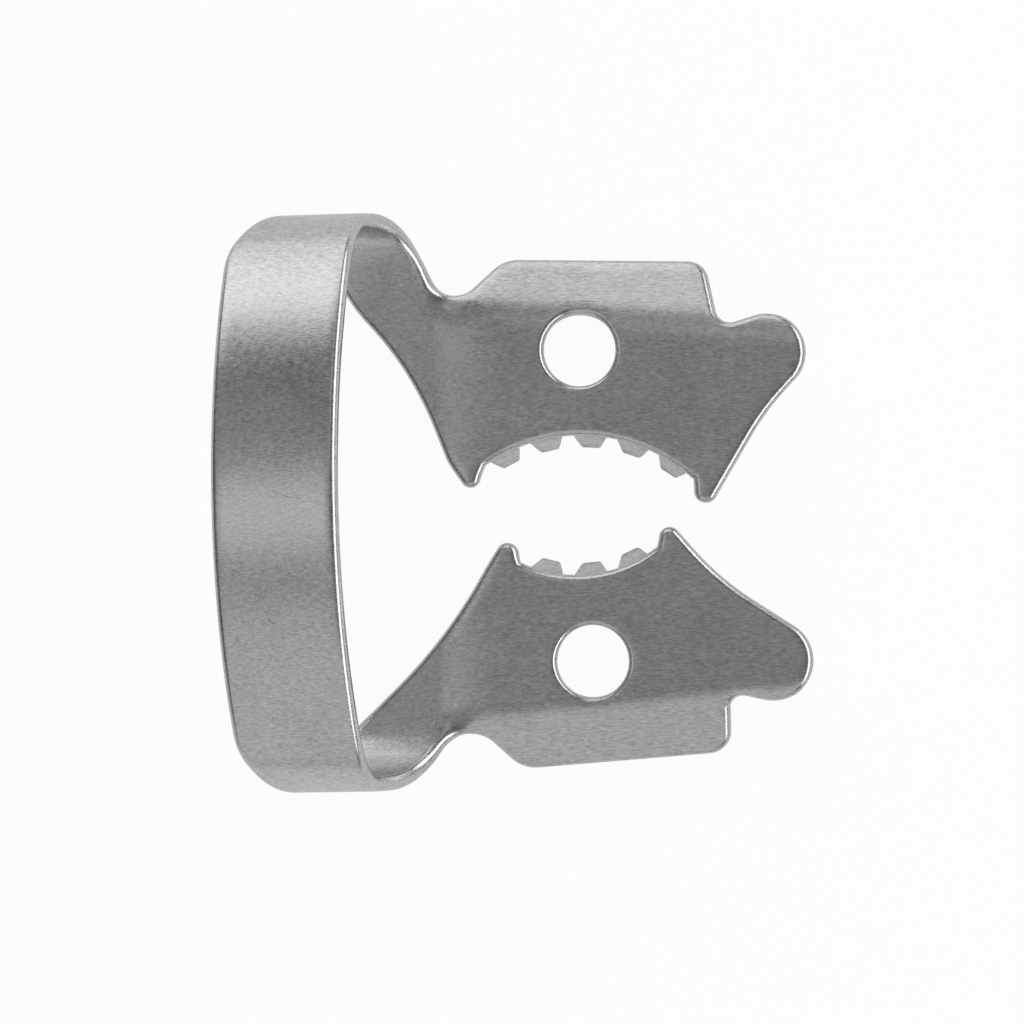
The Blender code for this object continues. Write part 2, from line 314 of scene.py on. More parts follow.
@dataclass(frozen=True)
class Corner:
    """A corner of the outline, rounded off to the radius r."""

    x: float
    y: float
    r: float = 0.0


@dataclass(frozen=True)
class Arc:
    """A stretch of the outline round x, y, from one angle to another."""

    x: float
    y: float
    r: float
    start: float
    end: float

    def at(self, angle: float) -> Point:
        """The point of the arc's circle at an angle."""
        turn = math.radians(angle)
        return self.x + self.r * math.cos(turn), self.y + self.r * math.sin(turn)

    def points(self) -> Loop:
        """Divide the arc.

        Returns:
            Points round the arc, from its start to its end.
        """
        turn = self.end - self.start
        length = math.radians(abs(turn)) * self.r
        count = max(1, math.ceil(abs(turn) / Sheet.ARC_STEP), math.ceil(length / Sheet.EDGE_STEP))
        return [self.at(self.start + turn * i / count) for i in range(count + 1)]


@dataclass(frozen=True)
class Bow:
    """The bow's sizes; radii are to the middle of the sheet."""

    width: float = 26.5
    shift: float = 0.25
    drop: float = 4.1
    crown_radius: float = 22.0
    shoulder_radius: float = 3.8
    heel_radius: float = 2.9
    heel_turn: float = 65.0
    strip_front: float = -8.6
    strip_width: float = 5.93
    lean: float = 8.0
    lean_front: float = -3.4
    lean_radius: float = 28.0

    @property
    def strip_back(self) -> float:
        """The x of the strip's back edge."""
        return self.strip_front - self.strip_width


@dataclass(frozen=True)
class Sheet:
    """The steel sheet, and how finely its blank is divided."""

    ARC_STEP = 6.0
    EDGE_STEP = 0.32
    LATTICE_CLEAR = 0.55

    thickness: float = 0.77
    edge_round: float = 0.33
    hole_radius: float = 1.675
    hole_round: float = 0.24
    hole_sides: int = 72
    round_steps: int = 5
    lattice: float = 0.32


@dataclass(frozen=True)
class Jaw:
    """One jaw with its limb: where it bends, and its half of the flat outline."""

    side: Side
    flat_edge: float
    wing_edge: float
    wing_turn: float
    blend: float
    limb_front: Corner
    notch: Corner
    wing_back: Corner
    wing_front: Corner
    step: Corner
    front_wing: Arc
    waist: Corner
    front_prong: Arc
    rear_prong: Arc
    gum: Arc
    teeth: int
    teeth_middle: float
    inner_back: Corner
    limb_back: Corner
    limb_top: Corner
    taper: Corner
    hole: Corner

    def neck_radius(self, bow: Bow, sheet: Sheet) -> float:
        """The radius that brings the heel out to the bow's width.

        Args:
            bow: the bow's sizes.
            sheet: the sheet's sizes.

        Returns:
            The radius of the bend between the jaw and the heel.
        """
        reach = (bow.width - sheet.thickness) / 2 + self.side.value * bow.shift
        heel = math.radians(bow.heel_turn)
        return (reach - self.flat_edge - bow.heel_radius * (1 - math.cos(heel))) / math.cos(heel)

    def bends(self, bow: Bow, sheet: Sheet) -> list[tuple[float | None, float]]:
        """Each bend from the jaw to the crown.

        Args:
            bow: the bow's sizes.
            sheet: the sheet's sizes.

        Returns:
            Radius and turn of each bend, or None and a length for the straight leg.
        """
        half = (bow.width - sheet.thickness) / 2
        heel = math.radians(bow.heel_turn)
        neck = self.neck_radius(bow, sheet)
        leg = bow.drop - bow.heel_radius * math.sin(heel) - neck * (1 - math.sin(heel))
        crown = math.asin((half - bow.shoulder_radius) / (bow.crown_radius - bow.shoulder_radius))
        return [(neck, math.pi / 2 - heel), (bow.heel_radius, heel), (None, leg),
                (bow.shoulder_radius, math.pi / 2 - crown), (bow.crown_radius, crown)]

    def crown_y(self, bow: Bow, sheet: Sheet) -> float:
        """The flat y at the middle of the crown."""
        run = sum(size if radius is None else radius * size for radius, size in self.bends(bow, sheet))
        return self.flat_edge + run


BOW = Bow()
SHEET = Sheet()

WIDE_JAW = Jaw(
    side=Side.WIDE, flat_edge=8.1, wing_edge=7.78, wing_turn=24.0, blend=0.9,
    limb_front=Corner(BOW.strip_front, 15.6, 6.0), notch=Corner(-6.2, 8.8, 1.1),
    wing_back=Corner(-3.52, 11.5, 1.6), wing_front=Corner(5.78, 11.22, 1.0),
    step=Corner(6.48, 7.95, 0.7), front_wing=Arc(8.65, 6.72, 1.8, 105.0, -50.0),
    waist=Corner(8.53, 4.0, 12.0), front_prong=Arc(5.7, 0.42, 0.54, -30.0, -180.0),
    rear_prong=Arc(-5.2, 1.28, 0.46, -5.0, -150.0),
    gum=Arc(-0.22, -4.67, 7.78, 46.4, 123.4), teeth=5, teeth_middle=85.5,
    inner_back=Corner(-6.25, 2.0, 2.5), limb_back=Corner(-7.8, 6.1, 15.0),
    limb_top=Corner(-10.7, 9.38, 6.0), taper=Corner(BOW.strip_back, 19.2, 4.0),
    hole=Corner(0.0, 7.05, SHEET.hole_radius))

NARROW_JAW = Jaw(
    side=Side.NARROW, flat_edge=9.2, wing_edge=8.57, wing_turn=22.0, blend=0.9,
    limb_front=Corner(BOW.strip_front, 15.0, 5.0), notch=Corner(-5.85, 9.56, 1.4),
    wing_back=Corner(-3.17, 12.38, 1.6), wing_front=Corner(6.53, 11.78, 1.1),
    step=Corner(6.6, 8.84, 0.6), front_wing=Arc(8.63, 7.43, 1.86, 100.0, -54.0),
    waist=Corner(6.24, 3.6, 13.0), front_prong=Arc(3.98, 1.68, 0.49, -33.0, -175.0),
    rear_prong=Arc(-3.56, 2.29, 0.53, -5.0, -149.0),
    gum=Arc(-0.26, -2.77, 6.075, 53.0, 116.5), teeth=3, teeth_middle=84.8,
    inner_back=Corner(-4.55, 2.84, 2.5), limb_back=Corner(-6.45, 6.02, 22.0),
    limb_top=Corner(-11.1, 10.38, 4.0), taper=Corner(BOW.strip_back, 19.3, 4.0),
    hole=Corner(0.3, 7.3, SHEET.hole_radius))


def fillet(before: Point, corner: Corner, after: Point) -> Loop:
    """The rounded stretch of a corner.

    Args:
        before: the outline's point before the corner.
        corner: the corner and its radius.
        after: the outline's point after the corner.

    Returns:
        Points round the corner.
    """
    here = Vector((corner.x, corner.y))
    back = (Vector(before) - here).normalized()
    ahead = (Vector(after) - here).normalized()
    half = back.angle(ahead) / 2
    middle = here + (back + ahead).normalized() * (corner.r / math.sin(half))
    first = here + back * (corner.r / math.tan(half)) - middle
    last = here + ahead * (corner.r / math.tan(half)) - middle
    start = math.degrees(math.atan2(first.y, first.x))
    turn = math.degrees(first.angle_signed(last))
    return Arc(middle.x, middle.y, corner.r, start, start - turn).points()


def trace(items: list[Corner | Arc]) -> Loop:
    """Follow an open outline whose two ends are plain corners.

    Args:
        items: the outline's corners and arcs, in order.

    Returns:
        Points along the outline.
    """
    starts = [item.at(item.start) if isinstance(item, Arc) else (item.x, item.y) for item in items]
    ends = [item.at(item.end) if isinstance(item, Arc) else (item.x, item.y) for item in items]
    points: Loop = []
    for index, item in enumerate(items):
        if isinstance(item, Arc):
            points += item.points()
        elif item.r:
            points += fillet(ends[index - 1], item, starts[index + 1])
        else:
            points.append((item.x, item.y))
    return points


def divided(points: Loop, step: float) -> Loop:
    """Cut an open outline's long edges.

    Args:
        points: the outline.
        step: the longest that an edge may be.

    Returns:
        The outline with the added points.
    """
    result = [points[0]]
    for first, last in zip(points, points[1:]):
        start, end = Vector(first), Vector(last)
        pieces = max(1, math.ceil((end - start).length / step))
        result += [tuple(start.lerp(end, (i + 1) / pieces)) for i in range(pieces)]
    return result


def without_repeats(points: Loop, gap: float = 0.02) -> Loop:
    """Leave out the points of a closed loop that lie too close to the one before.

    Args:
        points: the loop.
        gap: the least distance between two points.

    Returns:
        The loop with the points that stay.
    """
    kept = [points[0]]
    for point in points[1:]:
        if math.dist(point, kept[-1]) > gap:
            kept.append(point)
    return kept if math.dist(kept[-1], kept[0]) > gap else kept[:-1]


def inset(loop: Loop, depth: float, sharpest: float = 0.7) -> Loop:
    """Move a closed loop into the material on its left.

    Args:
        loop: the loop.
        depth: how far its edges move.
        sharpest: the least cosine of half a corner's turn, past which the corner moves no further.

    Returns:
        The moved loop.
    """
    moved: Loop = []
    for before, here, after in zip(loop[-1:] + loop[:-1], loop, loop[1:] + loop[:1]):
        edge_in = (Vector(here) - Vector(before)).normalized()
        edge_out = (Vector(after) - Vector(here)).normalized()
        normal = Vector((-edge_in.y - edge_out.y, edge_in.x + edge_out.x)).normalized()
        mitre = max(normal.dot(Vector((-edge_in.y, edge_in.x))), sharpest)
        moved.append(tuple(Vector(here) + normal * (depth / mitre)))
    return moved


def inside(points: np.ndarray, loops: list[Loop]) -> np.ndarray:
    """Which points lie within an odd number of the loops.

    Args:
        points: the points, one to a row.
        loops: closed loops.

    Returns:
        True for each point in the first loop and in none of its holes.
    """
    crossings = np.zeros(len(points), int)
    for loop in loops:
        for (ax, ay), (bx, by) in zip(loop, loop[1:] + loop[:1]):
            spans = (ay > points[:, 1]) != (by > points[:, 1])
            rise = by - ay or 1.0
            crossings += spans & (ax + (points[:, 1] - ay) / rise * (bx - ax) > points[:, 0])
    return crossings % 2 == 1


# The clamp.


@dataclass
class Blank:
    """The flat stamping: an outline with rounded edges and two forceps holes."""

    bow: Bow
    sheet: Sheet
    jaws: tuple[Jaw, Jaw]

    def half(self, jaw: Jaw) -> Loop:
        """Trace a jaw's half of the outline.

        Args:
            jaw: the jaw.

        Returns:
            Points in x and u, from the strip's front edge at the crown round to its back edge.
        """
        crown = jaw.crown_y(self.bow, self.sheet)
        points = trace([
            Corner(self.bow.strip_front, crown), jaw.limb_front, jaw.notch, jaw.wing_back,
            jaw.wing_front, jaw.step, jaw.front_wing, jaw.waist, jaw.front_prong,
            Corner(*jaw.gum.at(jaw.gum.start)), jaw.gum, Corner(*jaw.gum.at(jaw.gum.end)),
            jaw.rear_prong, jaw.inner_back, jaw.limb_back, jaw.limb_top, jaw.taper,
            Corner(self.bow.strip_back, crown)])
        return [(x, jaw.side.value * (crown - y)) for x, y in divided(points, Sheet.EDGE_STEP)]

    def loops(self) -> list[Loop]:
        """Trace the blank's edges.

        Returns:
            The outer loop and the two hole loops, with the material on the left of each.
        """
        wide, narrow = (self.half(jaw) for jaw in self.jaws)
        outer = without_repeats(wide + narrow[::-1])
        area = sum(a[0] * b[1] - b[0] * a[1] for a, b in zip(outer, outer[1:] + outer[:1]))
        loops = [outer if area > 0 else outer[::-1]]
        for jaw in self.jaws:
            u = jaw.side.value * (jaw.crown_y(self.bow, self.sheet) - jaw.hole.y)
            ring = Arc(jaw.hole.x, u, jaw.hole.r, 0.0, 360.0)
            turns = [-360.0 * i / self.sheet.hole_sides for i in range(self.sheet.hole_sides)]
            loops.append([ring.at(turn) for turn in turns])
        return loops

    def lattice(self, loops: list[Loop]) -> list[Point]:
        """Space points evenly within the flat top.

        Args:
            loops: the flat top's outer loop and its holes.

        Returns:
            The points, all of them clear of the loops.
        """
        edges = [point for loop in loops for point in loop]
        tree = KDTree(len(edges))
        for index, (x, u) in enumerate(edges):
            tree.insert((x, u, 0.0), index)
        tree.balance()
        step = self.sheet.lattice
        low, high = np.min(edges, axis=0), np.max(edges, axis=0)
        columns = np.arange(low[0] + step / 2, high[0], step)
        rows = np.arange(low[1] + step / 2, high[1], step)
        grid = np.array([(x, u) for u in rows for x in columns])
        within = grid[inside(grid, loops)]
        clear = step * Sheet.LATTICE_CLEAR
        return [tuple(p) for p in within if tree.find((*p, 0.0))[2] > clear]

    def mesh(self) -> bpy.types.Mesh:
        """Make the stamping, rim by rim.

        Returns:
            A closed flat mesh in metres, with each point's side of the clamp on it.
        """
        sheet = self.sheet
        loops = self.loops()
        quarter = [math.pi / 2 * i / sheet.round_steps for i in range(sheet.round_steps + 1)]
        body = bmesh.new()
        caps = []
        for loop, radius in zip(loops, [sheet.edge_round, sheet.hole_round, sheet.hole_round]):
            rings = []
            for face, angles in ((1, quarter), (-1, quarter[::-1])):
                for angle in angles:
                    height = face * (sheet.thickness / 2 - radius * (1 - math.cos(angle)))
                    ring = inset(loop, radius * (1 - math.sin(angle)))
                    rings.append([body.verts.new((x, u, height)) for x, u in ring])
            for upper, lower in zip(rings, rings[1:]):
                for i in range(len(loop)):
                    body.faces.new((upper[i - 1], upper[i], lower[i], lower[i - 1]))
            caps.append((inset(loop, radius), rings[0], rings[-1]))
        self._close(body, caps)
        bmesh.ops.recalc_face_normals(body, faces=body.faces)
        mesh = shaped("blank", body)
        mesh.shade_smooth()
        side = mesh.attributes.new("side", "FLOAT", "POINT")
        for vertex, value in zip(mesh.vertices, side.data):
            value.value = 1.0 if vertex.co.y >= 0 else -1.0
        mesh.transform(Matrix.Scale(MM, 4))
        return mesh

    def _close(self, body: bmesh.types.BMesh, caps: list[tuple[Loop, list, list]]) -> None:
        """Fill the top and the underside between the rings.

        Args:
            body: the mesh that has the rims.
            caps: each rim's flat inset loop with its top and bottom vertices.
        """
        flat_loops = [flat for flat, _, _ in caps]
        middle = self.lattice(flat_loops)
        flat = [Vector(p) for loop in flat_loops for p in loop] + [Vector(p) for p in middle]
        edges = []
        first = 0
        for loop in flat_loops:
            edges += [(first + i, first + (i + 1) % len(loop)) for i in range(len(loop))]
            first += len(loop)
        points, _, faces, source, _, _ = delaunay_2d_cdt(flat, edges, [], FILL_INSIDE, SAME_PLACE)
        centres = np.array([np.mean([points[i] for i in face], axis=0) for face in faces])
        void = inside(centres, flat_loops[1:])
        half = self.sheet.thickness / 2
        for index, height in ((1, half), (2, -half)):
            skin = [v for cap in caps for v in cap[index]]
            skin += [body.verts.new((x, u, height)) for x, u in middle]
            for face, gone in zip(faces, void):
                if not gone:
                    body.faces.new([skin[source[i][0]] for i in face])


class Press:
    """The tool that bends one half of the blank into a jaw, a limb and half of the bow."""

    LENGTHS = ("Crown", "Flat Edge", "Wing Edge", "Wing Radius", "Notch", "Blend", "Neck Radius",
               "Heel Radius", "Leg", "Shoulder Radius", "Crown Radius", "Lean Edge", "Lean Radius")
    TURNS = ("Neck Turn", "Heel Turn", "Shoulder Turn", "Crown Turn", "Wing Turn", "Wing Slant", "Lean")
    WING_RADIUS = 3.0
    WING_SLANT = -4.6

    def __init__(self, material: bpy.types.Material) -> None:
        """Build the tool.

        Args:
            material: what the bent sheet is dressed in.
        """
        labels = ("Side", *self.LENGTHS, *self.TURNS)
        self.tool = GeometryTool("press", {label: 1.0 for label in labels})
        graph, size = self.tool.graph, self.tool.size
        position = graph.add("GeometryNodeInputPosition").outputs[0]
        place = graph.add("ShaderNodeSeparateXYZ", {0: position})
        x, u, height = (graph.term(place, i) for i in range(3))
        y = size("Crown") - u.size()
        limb = 1.0 - ((x - size("Notch") + size("Blend")) / (2.0 * size("Blend"))).eased()
        limb_y, limb_z = self._bent(y, size("Flat Edge"), height, [
            (size("Neck Radius"), size("Neck Turn")), (size("Heel Radius"), size("Heel Turn")),
            (None, size("Leg")), (size("Shoulder Radius"), size("Shoulder Turn")),
            (size("Crown Radius"), size("Crown Turn"))])
        wing_x, wing_y, wing_z = self._wing(x, y, height)
        across = limb * x + (1.0 - limb) * wing_x
        along = limb * limb_y + (1.0 - limb) * wing_y
        up = limb * limb_z - (1.0 - limb) * wing_z
        back, down = self._bent(across * -1.0, size("Lean Edge"), up * -1.0,
                                [(size("Lean Radius"), size("Lean"))])
        moved = graph.add("ShaderNodeCombineXYZ", {
            0: back * -1.0, 1: size("Side") * along, 2: down * -1.0})
        side = graph.add("GeometryNodeInputNamedAttribute", {"Name": "side"}, data_type="FLOAT")
        mine = graph.maths("GREATER_THAN", graph.term(side, "Attribute") * size("Side"), 0.0)
        formed = graph.add("GeometryNodeSetPosition", {
            "Geometry": self.tool.source.outputs["Geometry"], "Selection": mine,
            "Position": moved.outputs[0]})
        self.tool.close(formed.outputs[0], material)

    def _wing(self, x: Term, y: Term, height: Term) -> tuple[Term, Term, Term]:
        """Where a point of the sheet goes when the wing is bent down along its slanted crease.

        Args:
            x: the point's place along the jaw.
            y: the point's flat distance from the middle plane.
            height: the point's height over the middle of the sheet.

        Returns:
            The point's place along the jaw, its distance outward and its depth.
        """
        size = self.tool.size
        across_crease = cosine(size("Wing Slant"))
        along_crease = sine(size("Wing Slant"))
        beside = x * across_crease + y * along_crease
        square = y * across_crease - x * along_crease
        reach, depth = self._bent(square, size("Wing Edge"), height * -1.0,
                                  [(size("Wing Radius"), size("Wing Turn"))])
        wing_x = beside * across_crease - reach * along_crease
        wing_y = beside * along_crease + reach * across_crease
        return wing_x, wing_y, depth

    @staticmethod
    def _bent(y: Term, edge: Term, height: Term,
              bends: list[tuple[Term | None, Term]]) -> tuple[Term, Term]:
        """Where a point of the sheet goes when all beyond an edge is bent up.

        Args:
            y: the point's flat distance from the middle plane.
            edge: where the first bend begins.
            height: the point's height over the middle of the sheet.
            bends: radius and turn of each bend, or None and a length.

        Returns:
            The point's distance outward and its height.
        """
        rest = (y - edge).at_least(0.0)
        out: Number = 0.0
        up: Number = 0.0
        slope: Number = 0.0
        for radius, amount in bends:
            step = rest.at_most(amount if radius is None else radius * amount)
            rest = rest - step
            if radius is None:
                out = out + step * cosine(slope)
                up = up + step * sine(slope)
            else:
                steeper = step / radius + slope
                out = out + radius * (sine(steeper) - sine(slope))
                up = up + radius * (cosine(slope) - cosine(steeper))
                slope = steeper
        out = out + rest * cosine(slope)
        up = up + rest * sine(slope)
        return y.at_most(edge) + out - height * sine(slope), up + height * cosine(slope)

    def bend(self, thing: bpy.types.Object, jaw: Jaw, bow: Bow, sheet: Sheet) -> None:
        """Bend one jaw's half of a blank.

        Args:
            thing: the blank's object.
            jaw: the half to bend.
            bow: the bow's sizes.
            sheet: the sheet's sizes.
        """
        neck, heel, leg, shoulder, crown = jaw.bends(bow, sheet)
        lengths = (jaw.crown_y(bow, sheet), jaw.flat_edge, jaw.wing_edge, self.WING_RADIUS,
                   jaw.notch.x, jaw.blend, neck[0], heel[0], leg[1], shoulder[0], crown[0],
                   -bow.lean_front, bow.lean_radius)
        turns = (neck[1], heel[1], shoulder[1], crown[1], math.radians(jaw.wing_turn),
                 math.radians(self.WING_SLANT), math.radians(bow.lean))
        sizes = {"Side": float(jaw.side.value)}
        sizes |= {label: value * MM for label, value in zip(self.LENGTHS, lengths)}
        sizes |= dict(zip(self.TURNS, turns))
        self.tool.put_on(thing, sizes)


@dataclass
class Teeth:
    """The rows of teeth that are turned down from the gum edges."""

    pitch: float = 2.05
    root_width: float = 1.75
    tip_width: float = 0.86
    reach: float = 0.58
    slope: float = 55.0
    thickness: float = 0.45
    root_depth: float = 0.6
    sink: float = 0.02
    edge_round: float = 0.08
    edge_segments: int = 2
    flat_angle: float = 1.0
    sharp_angle: float = 30.0

    def one(self, sheet: Sheet) -> bpy.types.Object:
        """Make one tooth as the hull of its section.

        Args:
            sheet: the sheet that it grows out of.

        Returns:
            The tooth, pointing along -X from the gum edge at the origin.
        """
        slope = math.radians(self.slope)
        down = Vector((math.cos(slope), -math.sin(slope)))
        under = Vector((-math.sin(slope), -math.cos(slope)))
        top = sheet.thickness / 2
        fold = Vector((-sheet.edge_round, top - sheet.edge_round))
        fold -= under * (sheet.edge_round - self.sink)
        tip = fold + down * ((self.reach - fold.x) / down.x)
        wide, slim = self.root_width / 2, self.tip_width / 2
        section = [(Vector((-self.root_depth, top - self.sink)), wide), (fold, wide), (tip, slim),
                   (tip + under * self.thickness, slim),
                   (Vector((-self.root_depth, self.sink - top)), wide)]
        body = bmesh.new()
        corners = [body.verts.new((-point.x, along, point.y))
                   for point, half in section for along in (-half, half)]
        bmesh.ops.convex_hull(body, input=corners)
        bmesh.ops.dissolve_limit(body, angle_limit=math.radians(self.flat_angle),
                                 verts=body.verts, edges=body.edges)
        bmesh.ops.bevel(body, geom=body.edges, offset=self.edge_round, segments=self.edge_segments,
                        profile=0.5, affect="EDGES", clamp_overlap=True)
        bmesh.ops.recalc_face_normals(body, faces=body.faces)
        bmesh.ops.scale(body, vec=(MM, MM, MM), verts=body.verts)
        mesh = shaped("tooth", body)
        mesh.shade_smooth()
        mesh.set_sharp_from_angle(angle=math.radians(self.sharp_angle))
        return placed("tooth", mesh)

    def spread(self, tooth: bpy.types.Object, material: bpy.types.Material) -> GeometryTool:
        """Build the tool that sets copies of a tooth along a gum edge.

        Args:
            tooth: the one tooth.
            material: what the teeth are dressed in.

        Returns:
            The tool, whose inputs place the row.
        """
        tool = GeometryTool("teeth_along_gum", {
            "Count": 1, "Side": 1.0, "Centre X": 0.0, "Centre Y": 0.0, "Radius": 1.0,
            "Middle": 0.0, "Pitch": 1.0})
        graph, size = tool.graph, tool.size
        number = graph.term(graph.add("GeometryNodeInputIndex"))
        count = size("Count")
        angle = size("Middle") + (number - (count - 1.0) / 2.0) * size("Pitch") / size("Radius")
        spot = graph.add("ShaderNodeCombineXYZ", {
            0: size("Centre X") + size("Radius") * cosine(angle),
            1: (size("Centre Y") + size("Radius") * sine(angle)) * size("Side")})
        turn = graph.add("ShaderNodeCombineXYZ", {2: angle * size("Side")})
        row = graph.add("GeometryNodePoints", {"Count": count, "Position": spot.outputs[0]})
        info = graph.add("GeometryNodeObjectInfo", {"Object": tooth})
        spin = graph.add("FunctionNodeEulerToRotation", {0: turn.outputs[0]})
        copies = graph.add("GeometryNodeInstanceOnPoints", {
            "Points": row.outputs[0], "Instance": info.outputs["Geometry"],
            "Rotation": spin.outputs[0]})
        tool.close(copies.outputs[0], material)
        return tool

    def row(self, tool: GeometryTool, jaw: Jaw) -> bpy.types.Object:
        """Set out one jaw's row of teeth.

        Args:
            tool: the tool that sets the teeth.
            jaw: the jaw.

        Returns:
            The row as a plain mesh object.
        """
        name = f"{jaw.side.name.lower()}_jaw_teeth"
        holder = placed(name, bpy.data.meshes.new(name))
        tool.put_on(holder, {
            "Count": jaw.teeth, "Side": float(jaw.side.value), "Centre X": jaw.gum.x * MM,
            "Centre Y": jaw.gum.y * MM, "Radius": jaw.gum.r * MM,
            "Middle": math.radians(jaw.teeth_middle), "Pitch": self.pitch * MM})
        return made_plain(holder, name + "_row")


@dataclass(frozen=True)
class Weights:
    """How strongly each kind of mark shows in one of the finish's inputs."""

    grain: float
    mottle: float
    cloud: float
    hair: float


@dataclass(frozen=True)
class SatinSteel:
    """Tumbled spring steel: a soft gloss with a fine grain and a few hairline scratches.

    The noises have 0.5 as their middle. The hairlines follow the line where a broad noise
    crosses that middle, in the patches where a second one is over hair_from.
    """

    MIDDLE = 0.5
    OCTAVE_SHARE = 0.55

    dark: tuple[float, float, float, float] = (0.405, 0.397, 0.401, 1.0)
    pale: tuple[float, float, float, float] = (0.725, 0.711, 0.718, 1.0)
    roughness: float = 0.27
    grain_length: float = 0.34
    grain_width: float = 0.062
    grain_detail: float = 3.0
    mottle: float = 0.26
    mottle_detail: float = 2.0
    cloud: float = 2.6
    cloud_detail: float = 2.0
    hair_curl: float = 1.1
    hair_detail: float = 1.0
    hair_width: float = 0.006
    hair_patch: float = 2.2
    hair_patch_detail: float = 0.0
    hair_from: float = 0.6
    hair_edge: float = 1 / 12
    relief: float = 0.006
    in_shade: Weights = Weights(grain=2.0, mottle=0.7, cloud=0.35, hair=0.5)
    in_roughness: Weights = Weights(grain=0.10, mottle=0.08, cloud=0.06, hair=0.0)
    in_height: Weights = Weights(grain=0.5, mottle=0.5, cloud=0.0, hair=0.3)

    def material(self) -> bpy.types.Material:
        """Build the finish.

        Returns:
            The material.
        """
        steel = bpy.data.materials.new("spring_steel")
        steel.use_nodes = True
        graph = Graph(steel.node_tree)
        shader = steel.node_tree.nodes["Principled BSDF"]
        where = graph.add("ShaderNodeTexCoord").outputs["Object"]
        grain_sizes = (self.grain_length, self.grain_width, self.grain_width)
        grain = self._noise(graph, where, grain_sizes, self.grain_detail) - self.MIDDLE
        mottle = self._noise(graph, where, (self.mottle,) * 3, self.mottle_detail) - self.MIDDLE
        cloud = self._noise(graph, where, (self.cloud,) * 3, self.cloud_detail) - self.MIDDLE
        hair = self._hairlines(graph, where)
        shade, rough, height = (
            grain * by.grain + mottle * by.mottle + cloud * by.cloud - hair * by.hair
            for by in (self.in_shade, self.in_roughness, self.in_height))
        tint = graph.add("ShaderNodeMix", data_type="RGBA")
        graph.fill(tint.inputs["Factor"], (self.MIDDLE + shade).at_least(0.0).at_most(1.0))
        graph.fill(tint.inputs["A"], self.dark)
        graph.fill(tint.inputs["B"], self.pale)
        graph.fill(shader.inputs["Base Color"], tint.outputs["Result"])
        graph.fill(shader.inputs["Roughness"], self.roughness + rough)
        graph.fill(shader.inputs["Metallic"], 1.0)
        bump = graph.add("ShaderNodeBump", {
            "Strength": 1.0, "Distance": self.relief * MM, "Height": height})
        graph.fill(shader.inputs["Normal"], bump.outputs[0])
        return steel

    def _hairlines(self, graph: Graph, where: bpy.types.NodeSocket) -> Term:
        """Draw fine curved scratches in a few patches.

        Args:
            graph: the material's tree.
            where: the coordinates.

        Returns:
            1 on a scratch and 0 off it.
        """
        curl = self._noise(graph, where, (self.hair_curl,) * 3, self.hair_detail)
        patch = self._noise(graph, where, (self.hair_patch,) * 3, self.hair_patch_detail)
        line = (1.0 - (curl - self.MIDDLE).size() / self.hair_width).at_least(0.0)
        return line * ((patch - self.hair_from) / self.hair_edge).eased()

    def _noise(self, graph: Graph, where: bpy.types.NodeSocket,
               sizes: tuple[float, float, float], detail: float) -> Term:
        """Add a noise.

        Args:
            graph: the material's tree.
            where: the coordinates.
            sizes: how large the blots are along X, Y and Z.
            detail: how many finer octaves it has.

        Returns:
            The noise, from 0 to 1.
        """
        scaled = graph.add("ShaderNodeMapping", {
            "Vector": where, "Scale": tuple(1 / (size * MM) for size in sizes)})
        noise = graph.add("ShaderNodeTexNoise", {
            "Vector": scaled.outputs[0], "Scale": 1.0, "Detail": detail,
            "Roughness": self.OCTAVE_SHARE})
        return graph.term(noise, "Fac")


@dataclass
class Clamp:
    """The whole clamp: a pressed blank with its teeth, set down on its base."""

    bow: Bow
    sheet: Sheet
    teeth: Teeth
    jaws: tuple[Jaw, Jaw]
    finish: SatinSteel
    rest_turn: float = -3.114

    def build(self) -> list[bpy.types.Object]:
        """Make the clamp in the frame of the solid model.

        Returns:
            Its pieces: the sheet and the two rows of teeth.
        """
        steel = self.finish.material()
        flat = placed("blank", Blank(self.bow, self.sheet, self.jaws).mesh())
        press = Press(steel)
        for jaw in self.jaws:
            press.bend(flat, jaw, self.bow, self.sheet)
        sheet = made_plain(flat, "clamp_sheet")
        tooth = self.teeth.one(self.sheet)
        tool = self.teeth.spread(tooth, steel)
        rows = [self.teeth.row(tool, jaw) for jaw in self.jaws]
        bpy.data.objects.remove(tooth)
        pieces = [sheet, *rows]
        self._set_down(pieces)
        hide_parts(NODE)
        for piece in pieces:
            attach(piece, BODY)
        return pieces

    def _set_down(self, pieces: list[bpy.types.Object]) -> None:
        """Turn the clamp to its rest and bring it to the solid's place.

        Args:
            pieces: the clamp's pieces.
        """
        low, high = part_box(NODE)
        turn = Matrix.Rotation(math.radians(self.rest_turn), 4, "Y")
        for piece in pieces:
            piece.data.transform(turn)
        corners = np.array([v.co for piece in pieces for v in piece.data.vertices])
        middle = (Vector(corners.min(0)) + Vector(corners.max(0))) / 2
        away = (low + high) / 2 - middle
        for piece in pieces:
            piece.data.transform(Matrix.Translation(away))


# The studio.


@dataclass(frozen=True)
class Softbox:
    """A soft lamp at an angle off the zenith. With a glow of 1 it looks white."""

    name: str
    toward_x: float
    toward_y: float
    glow: float
    wide: float
    high: float
    distance: float = 400.0

    def hang(self) -> None:
        """Hang the lamp, facing the clamp."""
        lamp = bpy.data.lights.new(self.name, "AREA")
        lamp.shape = "RECTANGLE"
        lamp.size = self.wide * MM
        lamp.size_y = self.high * MM
        lamp.energy = self.glow * math.pi * lamp.size * lamp.size_y
        turn = Matrix.Rotation(math.radians(-self.toward_y), 4, "X")
        turn = turn @ Matrix.Rotation(math.radians(self.toward_x), 4, "Y")
        place = turn @ Matrix.Translation((0, 0, self.distance * MM))
        placed(self.name, lamp).matrix_world = place


